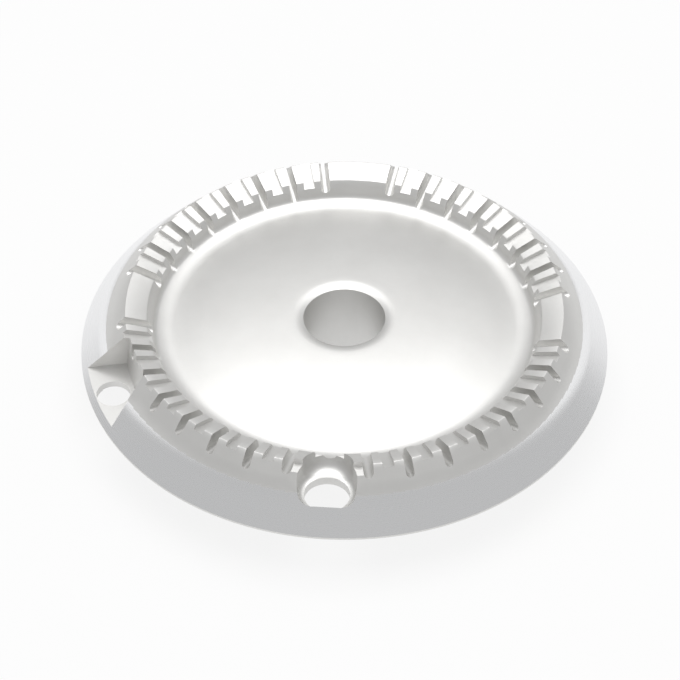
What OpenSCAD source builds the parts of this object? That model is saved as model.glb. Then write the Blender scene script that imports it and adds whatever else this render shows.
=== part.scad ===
// Gas burner crown: one aluminium die casting with a slotted port ring.
// Heights in the sections below are above the rim plane, the top of the thin upright rim edge.
// The model's own origin is on the axis at the end of the mixing tube, with +Z up.

/* [Rim and cone] */
// Diameter over the rim
rim_d = 100; // [98:0.5:102]
// Height of the rim plane above the end of the mixing tube
rim_h = 10; // [7:0.5:14]
// Height of the thin upright edge of the rim
rim_edge_h = 0.4; // [0.3:0.1:1]
// Slope of the outer cone, from horizontal
cone_angle = 47.9; // [47:0.1:49]
// Diameter where the turned bevel ends and the cast skin begins
bevel_top_d = 90; // [88:0.5:92]
// Height of the cast skin above the turned bevel, square to the cone
turned_step = 0.12; // [0.05:0.01:0.2]

/* [Port ring] */
// Outer diameter of the ring's top face
ring_out_d = 82.4; // [82:0.1:83]
// Inner diameter of the ring's top face
ring_in_d = 74.4; // [74:0.1:75]
// Height of the ring's top face at its outer edge
ring_top_z = 9.75; // [9.6:0.05:9.9]
// Rise of the ring's top face towards the outside
ring_slope = 19; // [17:0.5:21]
// Diameter of the ring's inner wall at its foot
throat_d = 72.1; // [71.8:0.1:72.4]
// Height of the foot of the inner wall
throat_z = 5; // [4.8:0.1:5.2]
// Height where the inner wall turns into its chamfer
throat_top_z = 7; // [6.8:0.1:7.2]
// Radius of the hollow corner at the foot of the inner wall
throat_foot_r = 1.2; // [0.9:0.1:1.4]
// Radius of the ring's two top edges
ring_edge_r = 0.3; // [0.2:0.05:0.35]

/* [Floor and tube] */
// Diameter of the valley between the floor and the ring
valley_d = 67.2; // [66.5:0.1:68]
// Height of the valley
valley_z = 4.05; // [3.9:0.05:4.2]
// Radius of curvature of the crowned floor
floor_r = 134.7; // [130:0.5:140]
// Slope of the floor at its inner edge
floor_inner_slope = 2; // [1.5:0.1:2.5]
// Bore of the mixing tube
bore_d = 15.5; // [15:0.1:16]
// Outer diameter of the mixing tube
tube_d = 19.5; // [19:0.1:20]
// Radius of the rolled lip round the bore
lip_r = 4; // [3.5:0.1:4.5]
// Wall of the casting under the floor and the cone
wall = 2.2; // [2:0.05:2.3]
// Width of the flat seat under the rim
seat_w = 3; // [2.8:0.1:3.4]

/* [Flame ports] */
// Ring positions in a full turn, ports and solid blocks together
ring_positions = 36; // [36]
// Width of a main port
port_w = 1.54; // [1.4:0.02:1.7]
// Width of the shallower port beside each solid block
side_port_w = 1.86; // [1.7:0.02:2]
// Width of a shallow carry-over slot
slot_w = 2.1; // [1.9:0.02:2.2]
// Floor slope of a main port
port_slope = 16.6; // [16:0.1:17.2]
// Floor slope of the port beside a block
side_port_slope = 15; // [14:0.1:16]
// Depth of a carry-over slot, whose floor lies parallel to the ring's top
slot_depth = 0.85; // [0.7:0.05:1]

/* [Electrode scoop] */
// Diameter of the hole for the ignition electrode
electrode_hole_d = 8.3; // [8:0.1:8.6]
// Distance of that hole from the axis
electrode_r = 43.25; // [43:0.05:43.4]
// Distance from the axis of the flat that closes the hole behind the bevel
electrode_flat_r = 46.3; // [46.2:0.05:46.4]
// Diameter of the round scoop about the hole
scoop_d = 10.8; // [10.6:0.1:11.2]
// Height of the ledge about the hole
ledge_z = 4.05; // [4:0.05:4.2]
// Thickness of metal under the ledge
ledge_t = 1.75; // [1.6:0.05:1.9]
// Diameter of the second scoop, which opens into the bowl
throat_scoop_d = 9.2; // [9:0.1:9.4]
// Distance of the second scoop from the axis
throat_scoop_r = 40.75; // [40.6:0.05:40.9]
// Width of the gate that feeds gas from the bowl into the scoop
gate_w = 5.2; // [4.8:0.1:5.6]
// Height of the gate's floor
gate_z = 6.9; // [6.8:0.05:7]
// Distance from the axis of the cross-lighting shelf's upright face
shelf_face_r = 40; // [39.8:0.1:40.2]
// Height of the cross-lighting shelf
shelf_z = 8.3; // [8.1:0.1:8.4]

/* [Sensor pocket] */
// Angle of the pocket behind the electrode, seen from above
pocket_angle = 66.7; // [66:0.1:67.4]
// Height of the pocket's floor
pocket_z = 1.15; // [1.05:0.05:1.3]
// Thickness of metal under the pocket
pocket_t = 1.3; // [1.2:0.05:1.4]
// Radius of the pocket's inner wall at its foot
pocket_in_r = 41.5; // [41.3:0.1:41.7]
// Half the angle that the pocket's floor spans
pocket_half_angle = 9.6; // [9.2:0.1:10]
// Draft of the pocket's end walls
pocket_draft = 9; // [8:0.5:10]
// Draft of the pocket's inner wall
pocket_back_draft = 5; // [4:0.5:6]
// Diameter of the hole for the flame sensor
sensor_hole_d = 6.3; // [6:0.1:6.5]
// Distance of that hole from the axis
sensor_r = 45.6; // [45.4:0.05:45.8]

/* [Hidden] */
$fn = 96;

// Length by which a cutter passes through the faces that it cuts
over = 3;
// Directions of the electrode and the pocket, from +X
electrode_dir = -90;
pocket_dir = electrode_dir - pocket_angle;
// Angle between two ring positions, and the number of positions in a quadrant
pitch = 360 / ring_positions;
per_quadrant = ring_positions / 4;

// Section radii
rim_r = rim_d / 2;
bevel_top_r = bevel_top_d / 2;
ring_out_r = ring_out_d / 2;
ring_in_r = ring_in_d / 2;
throat_r = throat_d / 2;
valley_r = valley_d / 2;
tube_r = tube_d / 2;
bore_r = bore_d / 2;
seat_r = rim_r - seat_w;

// Height of the turned cone at a radius, and the rise of the cast skin above it
function cone_z(r) = (rim_r - r) * tan(cone_angle);
skin_rise = turned_step / cos(cone_angle);
ring_in_z = ring_top_z - (ring_out_r - ring_in_r) * tan(ring_slope);

// The crowned floor is one arc from the valley to the lip
floor_in_r = bore_r + lip_r * sin(floor_inner_slope) + lip_r * 0.5;
floor_centre_r = floor_in_r - floor_r * sin(floor_inner_slope);
floor_centre_z = valley_z - sqrt(pow(floor_r, 2) - pow(valley_r - floor_centre_r, 2));
function floor_z(r, depth = 0) =
    floor_centre_z + sqrt(pow(floor_r - depth, 2) - pow(r - floor_centre_r, 2));

// The lip is an arc tangent to the floor, down to the bore
lip_centre_r = floor_in_r - lip_r * sin(floor_inner_slope);
lip_centre_z = floor_z(floor_in_r) - lip_r * cos(floor_inner_slope);
lip_end_angle = acos((bore_r - lip_centre_r) / lip_r);

// Main port: its floor passes just under the foot of the inner wall
port_start_r = throat_r - 0.9;
port_floor_z = throat_z - 0.05;
side_port_floor_z = throat_z + 1;

function unit(v) = v / norm(v);
// Turn from angle a to angle b by the short way
function turn(a, b) = (b - a + 540) % 360 - 180;
// Points of the arc of radius r that rounds the corner at b between a and c
function round_corner(a, b, c, r, steps) =
    let (
        u = unit(a - b),
        v = unit(c - b),
        half = acos(u * v) / 2,
        centre = b + unit(u + v) * r / sin(half),
        from = b + u * r / tan(half) - centre,
        to = b + v * r / tan(half) - centre,
        start = atan2(from[1], from[0]),
        sweep = turn(start, atan2(to[1], to[0]))
    )
    [for (i = [0:steps]) centre + r * [cos(start + sweep * i / steps), sin(start + sweep * i / steps)]];
// Points of an arc about a centre
function arc(centre, r, start, end, steps) =
    [for (i = [0:steps]) let (a = start + (end - start) * i / steps) centre + r * [cos(a), sin(a)]];

// Corners of the section, from the floor's edge out to the rim
valley_p = [valley_r, valley_z];
floor_p = [valley_r - 6, floor_z(valley_r - 6)];
throat_p = [throat_r, throat_z];
throat_top_p = [throat_r + 0.3, throat_top_z];
ring_in_p = [ring_in_r, ring_in_z];
ring_out_p = [ring_out_r, ring_top_z];
skin_p = [bevel_top_r, cone_z(bevel_top_r) + skin_rise];
bevel_p = [bevel_top_r + turned_step * sin(cone_angle), cone_z(bevel_top_r + turned_step * sin(cone_angle))];

// Top of the casting: lip, crowned floor, valley, ring, cone and rim
top_outline = concat(
    arc([lip_centre_r, lip_centre_z], lip_r, lip_end_angle, 90 - floor_inner_slope, 4),
    [for (i = [1:5]) let (r = floor_in_r + (floor_p[0] - floor_in_r) * i / 5) [r, floor_z(r)]],
    round_corner(floor_p, valley_p, throat_p, 5, 4),
    round_corner(valley_p, throat_p, throat_top_p, throat_foot_r, 4),
    [throat_top_p],
    round_corner(throat_top_p, ring_in_p, ring_out_p, ring_edge_r, 2),
    round_corner(ring_in_p, ring_out_p, skin_p, ring_edge_r, 2),
    [skin_p, bevel_p, [rim_r, 0]]
);

// Underside of the casting: seat, cone, ring and floor, one wall below the top
under_cone_shift = wall / sin(cone_angle);
function under_cone_z(r) = cone_z(r + under_cone_shift);
under_ring_p = [42.6, under_cone_z(42.6)];
under_valley_p = [valley_r - 0.4, floor_z(valley_r - 0.4, wall)];
under_throat_p = [throat_r - 1, throat_z - wall - 0.4];
tube_root_p = [tube_r, floor_z(tube_r, wall)];
under_outline = concat(
    [[tube_r, -rim_h - over]],
    round_corner([tube_r, -rim_h], tube_root_p, [tube_r + 5, floor_z(tube_r + 5, wall)], 2, 4),
    [for (i = [2:5]) let (r = tube_r + (under_valley_p[0] - tube_r) * i / 5) [r, floor_z(r, wall)]],
    [under_throat_p],
    round_corner(under_throat_p, under_ring_p, [seat_r, under_cone_z(seat_r)], 1.5, 3),
    [[seat_r, under_cone_z(seat_r)], [seat_r, -rim_edge_h], [rim_r + over, -rim_edge_h], [rim_r + over, -rim_h - over]]
);

// The casting before any cut, filled down to the end of the tube
module blank() {
    rotate_extrude()
        polygon(concat([[bore_r, -rim_h]], top_outline, [[rim_r, -rim_h]]));
}

// A cylinder of metal left standing in the hollow
module column(r, from_axis, base_z) {
    rotate(electrode_dir)
        translate([from_axis, 0, base_z])
            cylinder(r = r, h = ring_top_z - base_z);
}

// Wedge about the pocket's direction, its two faces leaning out by the draft
module wedge(half_angle, base_z, draft) {
    reach = 2 * rim_r;
    rotate(pocket_dir)
        intersection_for (side = [-1, 1])
            mirror([0, side > 0 ? 0 : 1, 0])
                rotate(half_angle)
                    translate([0, 0, base_z])
                        rotate([draft, 0, 0])
                            translate([0, -reach, -reach])
                                cube([reach, reach, 2 * reach]);
}

// The space under the casting, less the thick places about the two small holes
module underside_space() {
    pad = 2;
    difference() {
        rotate_extrude()
            polygon(under_outline);
        column(scoop_d / 2 + pad, electrode_r, ledge_z - ledge_t);
        column(throat_scoop_d / 2 + pad, throat_scoop_r, ledge_z - ledge_t);
        intersection() {
            rotate_extrude()
                polygon([
                    [pocket_in_r - pad - 0.5, pocket_z - pocket_t],
                    [rim_r, pocket_z - pocket_t],
                    [rim_r, ring_top_z],
                    [pocket_in_r - pad - 0.5, ring_top_z]
                ]);
            wedge(pocket_half_angle + 2.5, pocket_z, 0);
        }
    }
}

// A sloping channel with a round bottom, from the bowl out through the cone
module port(width, start_r, throat_floor_z, slope) {
    translate([throat_r, 0, throat_floor_z])
        rotate([0, -slope, 0])
            translate([start_r - throat_r, 0, width / 2]) {
                rotate([0, 90, 0])
                    cylinder(d = width, h = 12, $fn = 32);
                translate([0, -width / 2, 0])
                    cube([12, width, 8]);
            }
}

// A channel with a flat bottom, parallel to the ring's top
module carry_over_slot() {
    translate([ring_out_r, 0, ring_top_z])
        rotate([0, -ring_slope, 0])
            translate([throat_r - ring_out_r - over, -slot_w / 2, -slot_depth])
                cube([ring_out_r - throat_r + 2 * over, slot_w, over]);
}

// Every slot of the ring: a block, then a side port, main ports and a side port in each quadrant
module ring_cuts() {
    for (quadrant = [0:3])
        for (i = [1:per_quadrant - 1])
            rotate(quadrant * 90 + i * pitch)
                if (i == 1 || i == per_quadrant - 1)
                    port(side_port_w, throat_r - 2, side_port_floor_z, side_port_slope);
                else
                    port(port_w, port_start_r, port_floor_z, port_slope);
    for (quadrant = [0:3])
        for (i = [1:per_quadrant - 2])
            rotate(quadrant * 90 + (i + 0.5) * pitch)
                carry_over_slot();
}

// A round cutter with a rounded foot
module scoop(d, foot_r, from_axis) {
    top = ring_top_z + over;
    rotate(electrode_dir)
        translate([from_axis, 0, 0])
            rotate_extrude()
                polygon(concat(
                    [[0, top], [0, ledge_z]],
                    arc([d / 2 - foot_r, ledge_z + foot_r], foot_r, -90, 0, 5),
                    [[d / 2, top]]
                ));
}

// The stepped scoop with its gate, its hole and the shelf that carries the flame across it
module electrode_cuts() {
    scoop(scoop_d, (scoop_d - electrode_hole_d) / 2, electrode_r);
    scoop(throat_scoop_d, 2.2, throat_scoop_r);
    rotate(electrode_dir) {
        intersection() {
            translate([electrode_r, 0, -rim_h])
                cylinder(d = electrode_hole_d, h = rim_h + ledge_z + 1);
            translate([0, -rim_r, -rim_h - over])
                cube([electrode_flat_r, rim_d, 2 * rim_h + 2 * over]);
        }
        translate([throat_r - over, -gate_w / 2, gate_z])
            cube([throat_scoop_r - throat_r + over, gate_w, ring_top_z]);
        shelf_half_w = shelf_face_r * tan(pitch);
        translate([shelf_face_r, -shelf_half_w, shelf_z])
            cube([rim_r - shelf_face_r, 2 * shelf_half_w, ring_top_z]);
    }
}

// The pocket with drafted walls, and its hole
module sensor_cuts() {
    top = ring_top_z + over;
    intersection() {
        rotate_extrude()
            polygon([
                [pocket_in_r, pocket_z],
                [rim_r + over, pocket_z],
                [rim_r + over, top],
                [pocket_in_r - (top - pocket_z) * tan(pocket_back_draft), top]
            ]);
        wedge(pocket_half_angle, pocket_z, pocket_draft);
    }
    rotate(pocket_dir)
        translate([sensor_r, 0, -rim_h])
            cylinder(d = sensor_hole_d, h = rim_h + pocket_z + 1);
}

module burner_crown() {
    color("silver")
        translate([0, 0, rim_h])
            difference() {
                blank();
                underside_space();
                ring_cuts();
                electrode_cuts();
                sensor_cuts();
            }
}

burner_crown();
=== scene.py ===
# Gas burner crown: the look of the aluminium casting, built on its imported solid.
# All lengths are metres unless a name ends in _MM, and angles are degrees.
import bmesh
import bpy
import math
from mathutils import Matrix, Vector


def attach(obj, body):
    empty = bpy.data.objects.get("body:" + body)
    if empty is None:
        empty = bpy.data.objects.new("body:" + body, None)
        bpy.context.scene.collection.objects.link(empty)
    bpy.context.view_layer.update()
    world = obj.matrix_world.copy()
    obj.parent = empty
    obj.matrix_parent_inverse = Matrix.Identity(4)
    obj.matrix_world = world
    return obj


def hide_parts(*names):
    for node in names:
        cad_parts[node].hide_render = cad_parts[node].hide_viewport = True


MM = 0.001

# The camera looks at a point on the rim plane, from the front and above.
CAMERA_TARGET_MM = (-0.864, 0.463, 10.0)
CAMERA_DISTANCE_MM = 547.903
CAMERA_ELEVATION = 44.353
CAMERA_AZIMUTH = -4.184
CAMERA_NEAREST = 0.01
SENSOR_MM = 36.0
FOCAL_MM = 152.19

# The turned bevel on the cone, by radius and height above the tube's end.
RIM_PLANE_MM = 10.0
RIM_R_MM = 50.0
BEVEL_TOP_R_MM = 45.0
CONE_ANGLE = 47.9
# How far a face's middle may lie from the bevel and still belong to it.
BEVEL_END_SLACK_MM = 0.05
BEVEL_HEIGHT_SLACK_MM = 0.06

# Points closer than this are one, and edges sharper than this stay crisp.
MERGE_DISTANCE = 1e-6
CRISP_ANGLE = 28

# Cast skin: two tones, the size of its mottle and grain, its gloss and its relief.
CAST_DARK = (0.70, 0.695, 0.68, 1)
CAST_LIGHT = (0.80, 0.797, 0.785, 1)
CAST_ROUGHNESS = (0.42, 0.54)
MOTTLE_SCALE = 90.0
GRAIN_SCALE = 2600.0
GRAIN_STRENGTH = 0.35
GRAIN_HEIGHT = 0.00003

# Turned metal: two tones, the spacing of its rings, its gloss and its relief.
TURNED_DARK = (0.86, 0.865, 0.875, 1)
TURNED_LIGHT = (0.93, 0.932, 0.94, 1)
TURNED_ROUGHNESS = (0.2, 0.34)
TURNED_ANISOTROPY = 0.75
RING_SCALE = 9000.0
RING_STRENGTH = 0.25
RING_HEIGHT = 0.00002

# The studio: paper on the floor, a pale room and one softbox.
WHITE = (1, 1, 1, 1)
PAPER_SHADE = (0.8, 0.8, 0.8, 1)
PAPER_GLOW_SHARE = 0.85
FLOOR_HALF = 3.0
FLOOR_DROP = 0.00005
ROOM_STRENGTH = 0.55
SOFTBOX_PLACE = (0, 0.1, 0.9)
SOFTBOX_TARGET = (0, 0, 0.01)
SOFTBOX_SIDE = 0.9
SOFTBOX_WATTS = 6.0


def new_material(name):
    """An empty node material, its node tree and its output node."""
    material = bpy.data.materials.new(name)
    material.use_nodes = True
    tree = material.node_tree
    tree.nodes.clear()
    output = tree.nodes.new("ShaderNodeOutputMaterial")
    return material, tree, output


def add(tree, kind, **values):
    """A new node, with its properties and its input sockets set by name."""
    node = tree.nodes.new(kind)
    for key, value in values.items():
        if hasattr(node, key):
            setattr(node, key, value)
        else:
            node.inputs[key.replace("_", " ")].default_value = value
    return node


def add_tone(tree, dark, light):
    """A mix of two colours, which a noise steers."""
    tone = add(tree, "ShaderNodeMix", data_type="RGBA")
    tone.inputs["A"].default_value = dark
    tone.inputs["B"].default_value = light
    return tone


def add_gloss(tree, limits):
    """A roughness between two limits, which a noise steers."""
    return add(tree, "ShaderNodeMapRange", To_Min=limits[0], To_Max=limits[1])


def cast_material():
    """Blasted die cast skin: pale satin grey, faintly mottled, with a fine grain."""
    material, tree, output = new_material("cast_skin")
    link = tree.links.new
    place = add(tree, "ShaderNodeTexCoord")
    mottle = add(tree, "ShaderNodeTexNoise", Scale=MOTTLE_SCALE, Detail=4.0, Roughness=0.6)
    grain = add(tree, "ShaderNodeTexNoise", Scale=GRAIN_SCALE, Detail=3.0, Roughness=0.7)
    tone = add_tone(tree, CAST_DARK, CAST_LIGHT)
    gloss = add_gloss(tree, CAST_ROUGHNESS)
    bump = add(tree, "ShaderNodeBump", Strength=GRAIN_STRENGTH, Distance=GRAIN_HEIGHT)
    shader = add(tree, "ShaderNodeBsdfPrincipled", Metallic=1.0)
    for noise in (mottle, grain):
        link(place.outputs["Object"], noise.inputs["Vector"])
    link(mottle.outputs["Fac"], tone.inputs["Factor"])
    link(tone.outputs["Result"], shader.inputs["Base Color"])
    link(grain.outputs["Fac"], gloss.inputs["Value"])
    link(gloss.outputs["Result"], shader.inputs["Roughness"])
    link(grain.outputs["Fac"], bump.inputs["Height"])
    link(bump.outputs["Normal"], shader.inputs["Normal"])
    link(shader.outputs["BSDF"], output.inputs["Surface"])
    return material


def add_radius(tree):
    """The distance from the object's upright axis."""
    link = tree.links.new
    place = add(tree, "ShaderNodeTexCoord")
    split = add(tree, "ShaderNodeSeparateXYZ")
    across = add(tree, "ShaderNodeMath", operation="MULTIPLY")
    along = add(tree, "ShaderNodeMath", operation="MULTIPLY_ADD")
    radius = add(tree, "ShaderNodeMath", operation="SQRT")
    link(place.outputs["Object"], split.inputs["Vector"])
    for socket in (0, 1):
        link(split.outputs["X"], across.inputs[socket])
        link(split.outputs["Y"], along.inputs[socket])
    link(across.outputs[0], along.inputs[2])
    link(along.outputs[0], radius.inputs[0])
    return radius


def turned_material():
    """Bright turned metal: fine rings round the axis, which spread the gloss across them."""
    material, tree, output = new_material("turned_metal")
    link = tree.links.new
    radius = add_radius(tree)
    rings = add(
        tree, "ShaderNodeTexNoise", noise_dimensions="1D", Scale=RING_SCALE, Detail=4.0, Roughness=0.7
    )
    bump = add(tree, "ShaderNodeBump", Strength=RING_STRENGTH, Distance=RING_HEIGHT)
    gloss = add_gloss(tree, TURNED_ROUGHNESS)
    tone = add_tone(tree, TURNED_DARK, TURNED_LIGHT)
    direction = add(tree, "ShaderNodeTangent", direction_type="RADIAL", axis="Z")
    shader = add(tree, "ShaderNodeBsdfPrincipled", Metallic=1.0, Anisotropic=TURNED_ANISOTROPY)
    link(radius.outputs[0], rings.inputs["W"])
    link(rings.outputs["Fac"], bump.inputs["Height"])
    link(rings.outputs["Fac"], gloss.inputs["Value"])
    link(rings.outputs["Fac"], tone.inputs["Factor"])
    link(tone.outputs["Result"], shader.inputs["Base Color"])
    link(gloss.outputs["Result"], shader.inputs["Roughness"])
    link(bump.outputs["Normal"], shader.inputs["Normal"])
    link(direction.outputs["Tangent"], shader.inputs["Tangent"])
    link(shader.outputs["BSDF"], output.inputs["Surface"])
    return material


def on_bevel(point):
    """Whether a point of the rest mesh lies on the turned bevel."""
    radius = math.hypot(point.x, point.y) / MM
    height = point.z / MM - RIM_PLANE_MM
    turned = (RIM_R_MM - radius) * math.tan(math.radians(CONE_ANGLE))
    within = radius > BEVEL_TOP_R_MM - BEVEL_END_SLACK_MM
    return within and abs(height - turned) < BEVEL_HEIGHT_SLACK_MM


def build_crown(frame):
    """The casting as it shows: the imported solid's mesh with its own two finishes."""
    mesh = frame["nodes"]["burner_crown"].data.copy()
    mesh.name = "crown_casting"
    piece = bpy.data.objects.new("crown_casting", mesh)
    bpy.context.scene.collection.objects.link(piece)
    mesh.materials.clear()
    mesh.materials.append(cast_material())
    mesh.materials.append(turned_material())
    work = bmesh.new()
    work.from_mesh(mesh)
    bmesh.ops.remove_doubles(work, verts=work.verts, dist=MERGE_DISTANCE)
    for face in work.faces:
        face.material_index = 1 if on_bevel(face.calc_center_median()) else 0
    work.to_mesh(mesh)
    work.free()
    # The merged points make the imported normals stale, so they are worked out again.
    mesh.attributes.remove(mesh.attributes["custom_normal"])
    mesh.shade_smooth()
    mesh.set_sharp_from_angle(angle=math.radians(CRISP_ANGLE))
    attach(piece, "root")
    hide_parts("burner_crown")


def look_at(thing, target):
    """Turns a camera or a lamp towards a point."""
    thing.rotation_mode = "QUATERNION"
    thing.rotation_quaternion = (Vector(target) - thing.location).to_track_quat("-Z", "Y")


def make_camera():
    """The camera of the photograph."""
    azimuth, elevation = math.radians(CAMERA_AZIMUTH), math.radians(CAMERA_ELEVATION)
    back = Vector((
        -math.sin(azimuth) * math.cos(elevation),
        -math.cos(azimuth) * math.cos(elevation),
        math.sin(elevation),
    ))
    target = Vector(CAMERA_TARGET_MM) * MM
    data = bpy.data.cameras.new("camera")
    data.sensor_width = SENSOR_MM
    data.lens = FOCAL_MM
    data.clip_start = CAMERA_NEAREST
    camera = bpy.data.objects.new("camera", data)
    camera.location = target + back * CAMERA_DISTANCE_MM * MM
    look_at(camera, target)
    bpy.context.scene.collection.objects.link(camera)
    bpy.context.scene.camera = camera


def floor_material():
    """White paper that the camera sees as nearly plain white, apart from the object's shadow."""
    material, tree, output = new_material("paper")
    link = tree.links.new
    paper = add(tree, "ShaderNodeBsdfDiffuse", Color=PAPER_SHADE)
    glow = add(tree, "ShaderNodeEmission", Strength=1.0)
    seen = add(tree, "ShaderNodeLightPath")
    straight = add(tree, "ShaderNodeMath", operation="MAXIMUM")
    share = add(tree, "ShaderNodeMath", operation="MULTIPLY")
    share.inputs[1].default_value = PAPER_GLOW_SHARE
    blend = add(tree, "ShaderNodeMixShader")
    link(seen.outputs["Is Camera Ray"], straight.inputs[0])
    link(seen.outputs["Is Glossy Ray"], straight.inputs[1])
    link(straight.outputs[0], share.inputs[0])
    link(share.outputs[0], blend.inputs["Fac"])
    link(paper.outputs["BSDF"], blend.inputs[1])
    link(glow.outputs["Emission"], blend.inputs[2])
    link(blend.outputs["Shader"], output.inputs["Surface"])
    return material


def make_floor():
    """A wide flat sheet just under the tube's end."""
    half, height = FLOOR_HALF, -FLOOR_DROP
    corners = [(-half, -half, height), (half, -half, height), (half, half, height), (-half, half, height)]
    mesh = bpy.data.meshes.new("floor")
    mesh.from_pydata(corners, [], [(0, 1, 2, 3)])
    mesh.materials.append(floor_material())
    floor = bpy.data.objects.new("floor", mesh)
    bpy.context.scene.collection.objects.link(floor)


def make_world():
    """An even pale room, which the camera sees as white."""
    world = bpy.data.worlds.new("room")
    world.use_nodes = True
    tree = world.node_tree
    tree.nodes.clear()
    link = tree.links.new
    output = add(tree, "ShaderNodeOutputWorld")
    room = add(tree, "ShaderNodeBackground", Color=WHITE, Strength=ROOM_STRENGTH)
    white = add(tree, "ShaderNodeBackground", Color=WHITE, Strength=1.0)
    seen = add(tree, "ShaderNodeLightPath")
    blend = add(tree, "ShaderNodeMixShader")
    link(seen.outputs["Is Camera Ray"], blend.inputs["Fac"])
    link(room.outputs["Background"], blend.inputs[1])
    link(white.outputs["Background"], blend.inputs[2])
    link(blend.outputs["Shader"], output.inputs["Surface"])
    bpy.context.scene.world = world


def make_softbox():
    """One large soft lamp overhead, a little behind the object."""
    data = bpy.data.lights.new("softbox_top", "AREA")
    data.shape = "RECTANGLE"
    data.size, data.size_y = SOFTBOX_SIDE, SOFTBOX_SIDE
    data.energy = SOFTBOX_WATTS
    lamp = bpy.data.objects.new("softbox_top", data)
    lamp.location = SOFTBOX_PLACE
    look_at(lamp, SOFTBOX_TARGET)
    bpy.context.scene.collection.objects.link(lamp)


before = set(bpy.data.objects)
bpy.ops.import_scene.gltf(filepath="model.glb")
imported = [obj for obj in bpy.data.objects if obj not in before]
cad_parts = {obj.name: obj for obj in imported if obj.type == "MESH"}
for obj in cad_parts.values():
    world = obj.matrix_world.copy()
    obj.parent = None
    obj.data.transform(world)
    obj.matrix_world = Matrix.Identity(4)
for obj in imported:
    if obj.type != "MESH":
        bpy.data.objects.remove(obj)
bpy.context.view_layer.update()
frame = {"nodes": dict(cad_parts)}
bpy.context.scene.view_settings.view_transform = "Standard"
make_camera()
make_world()
make_softbox()
make_floor()
build_crown(frame)
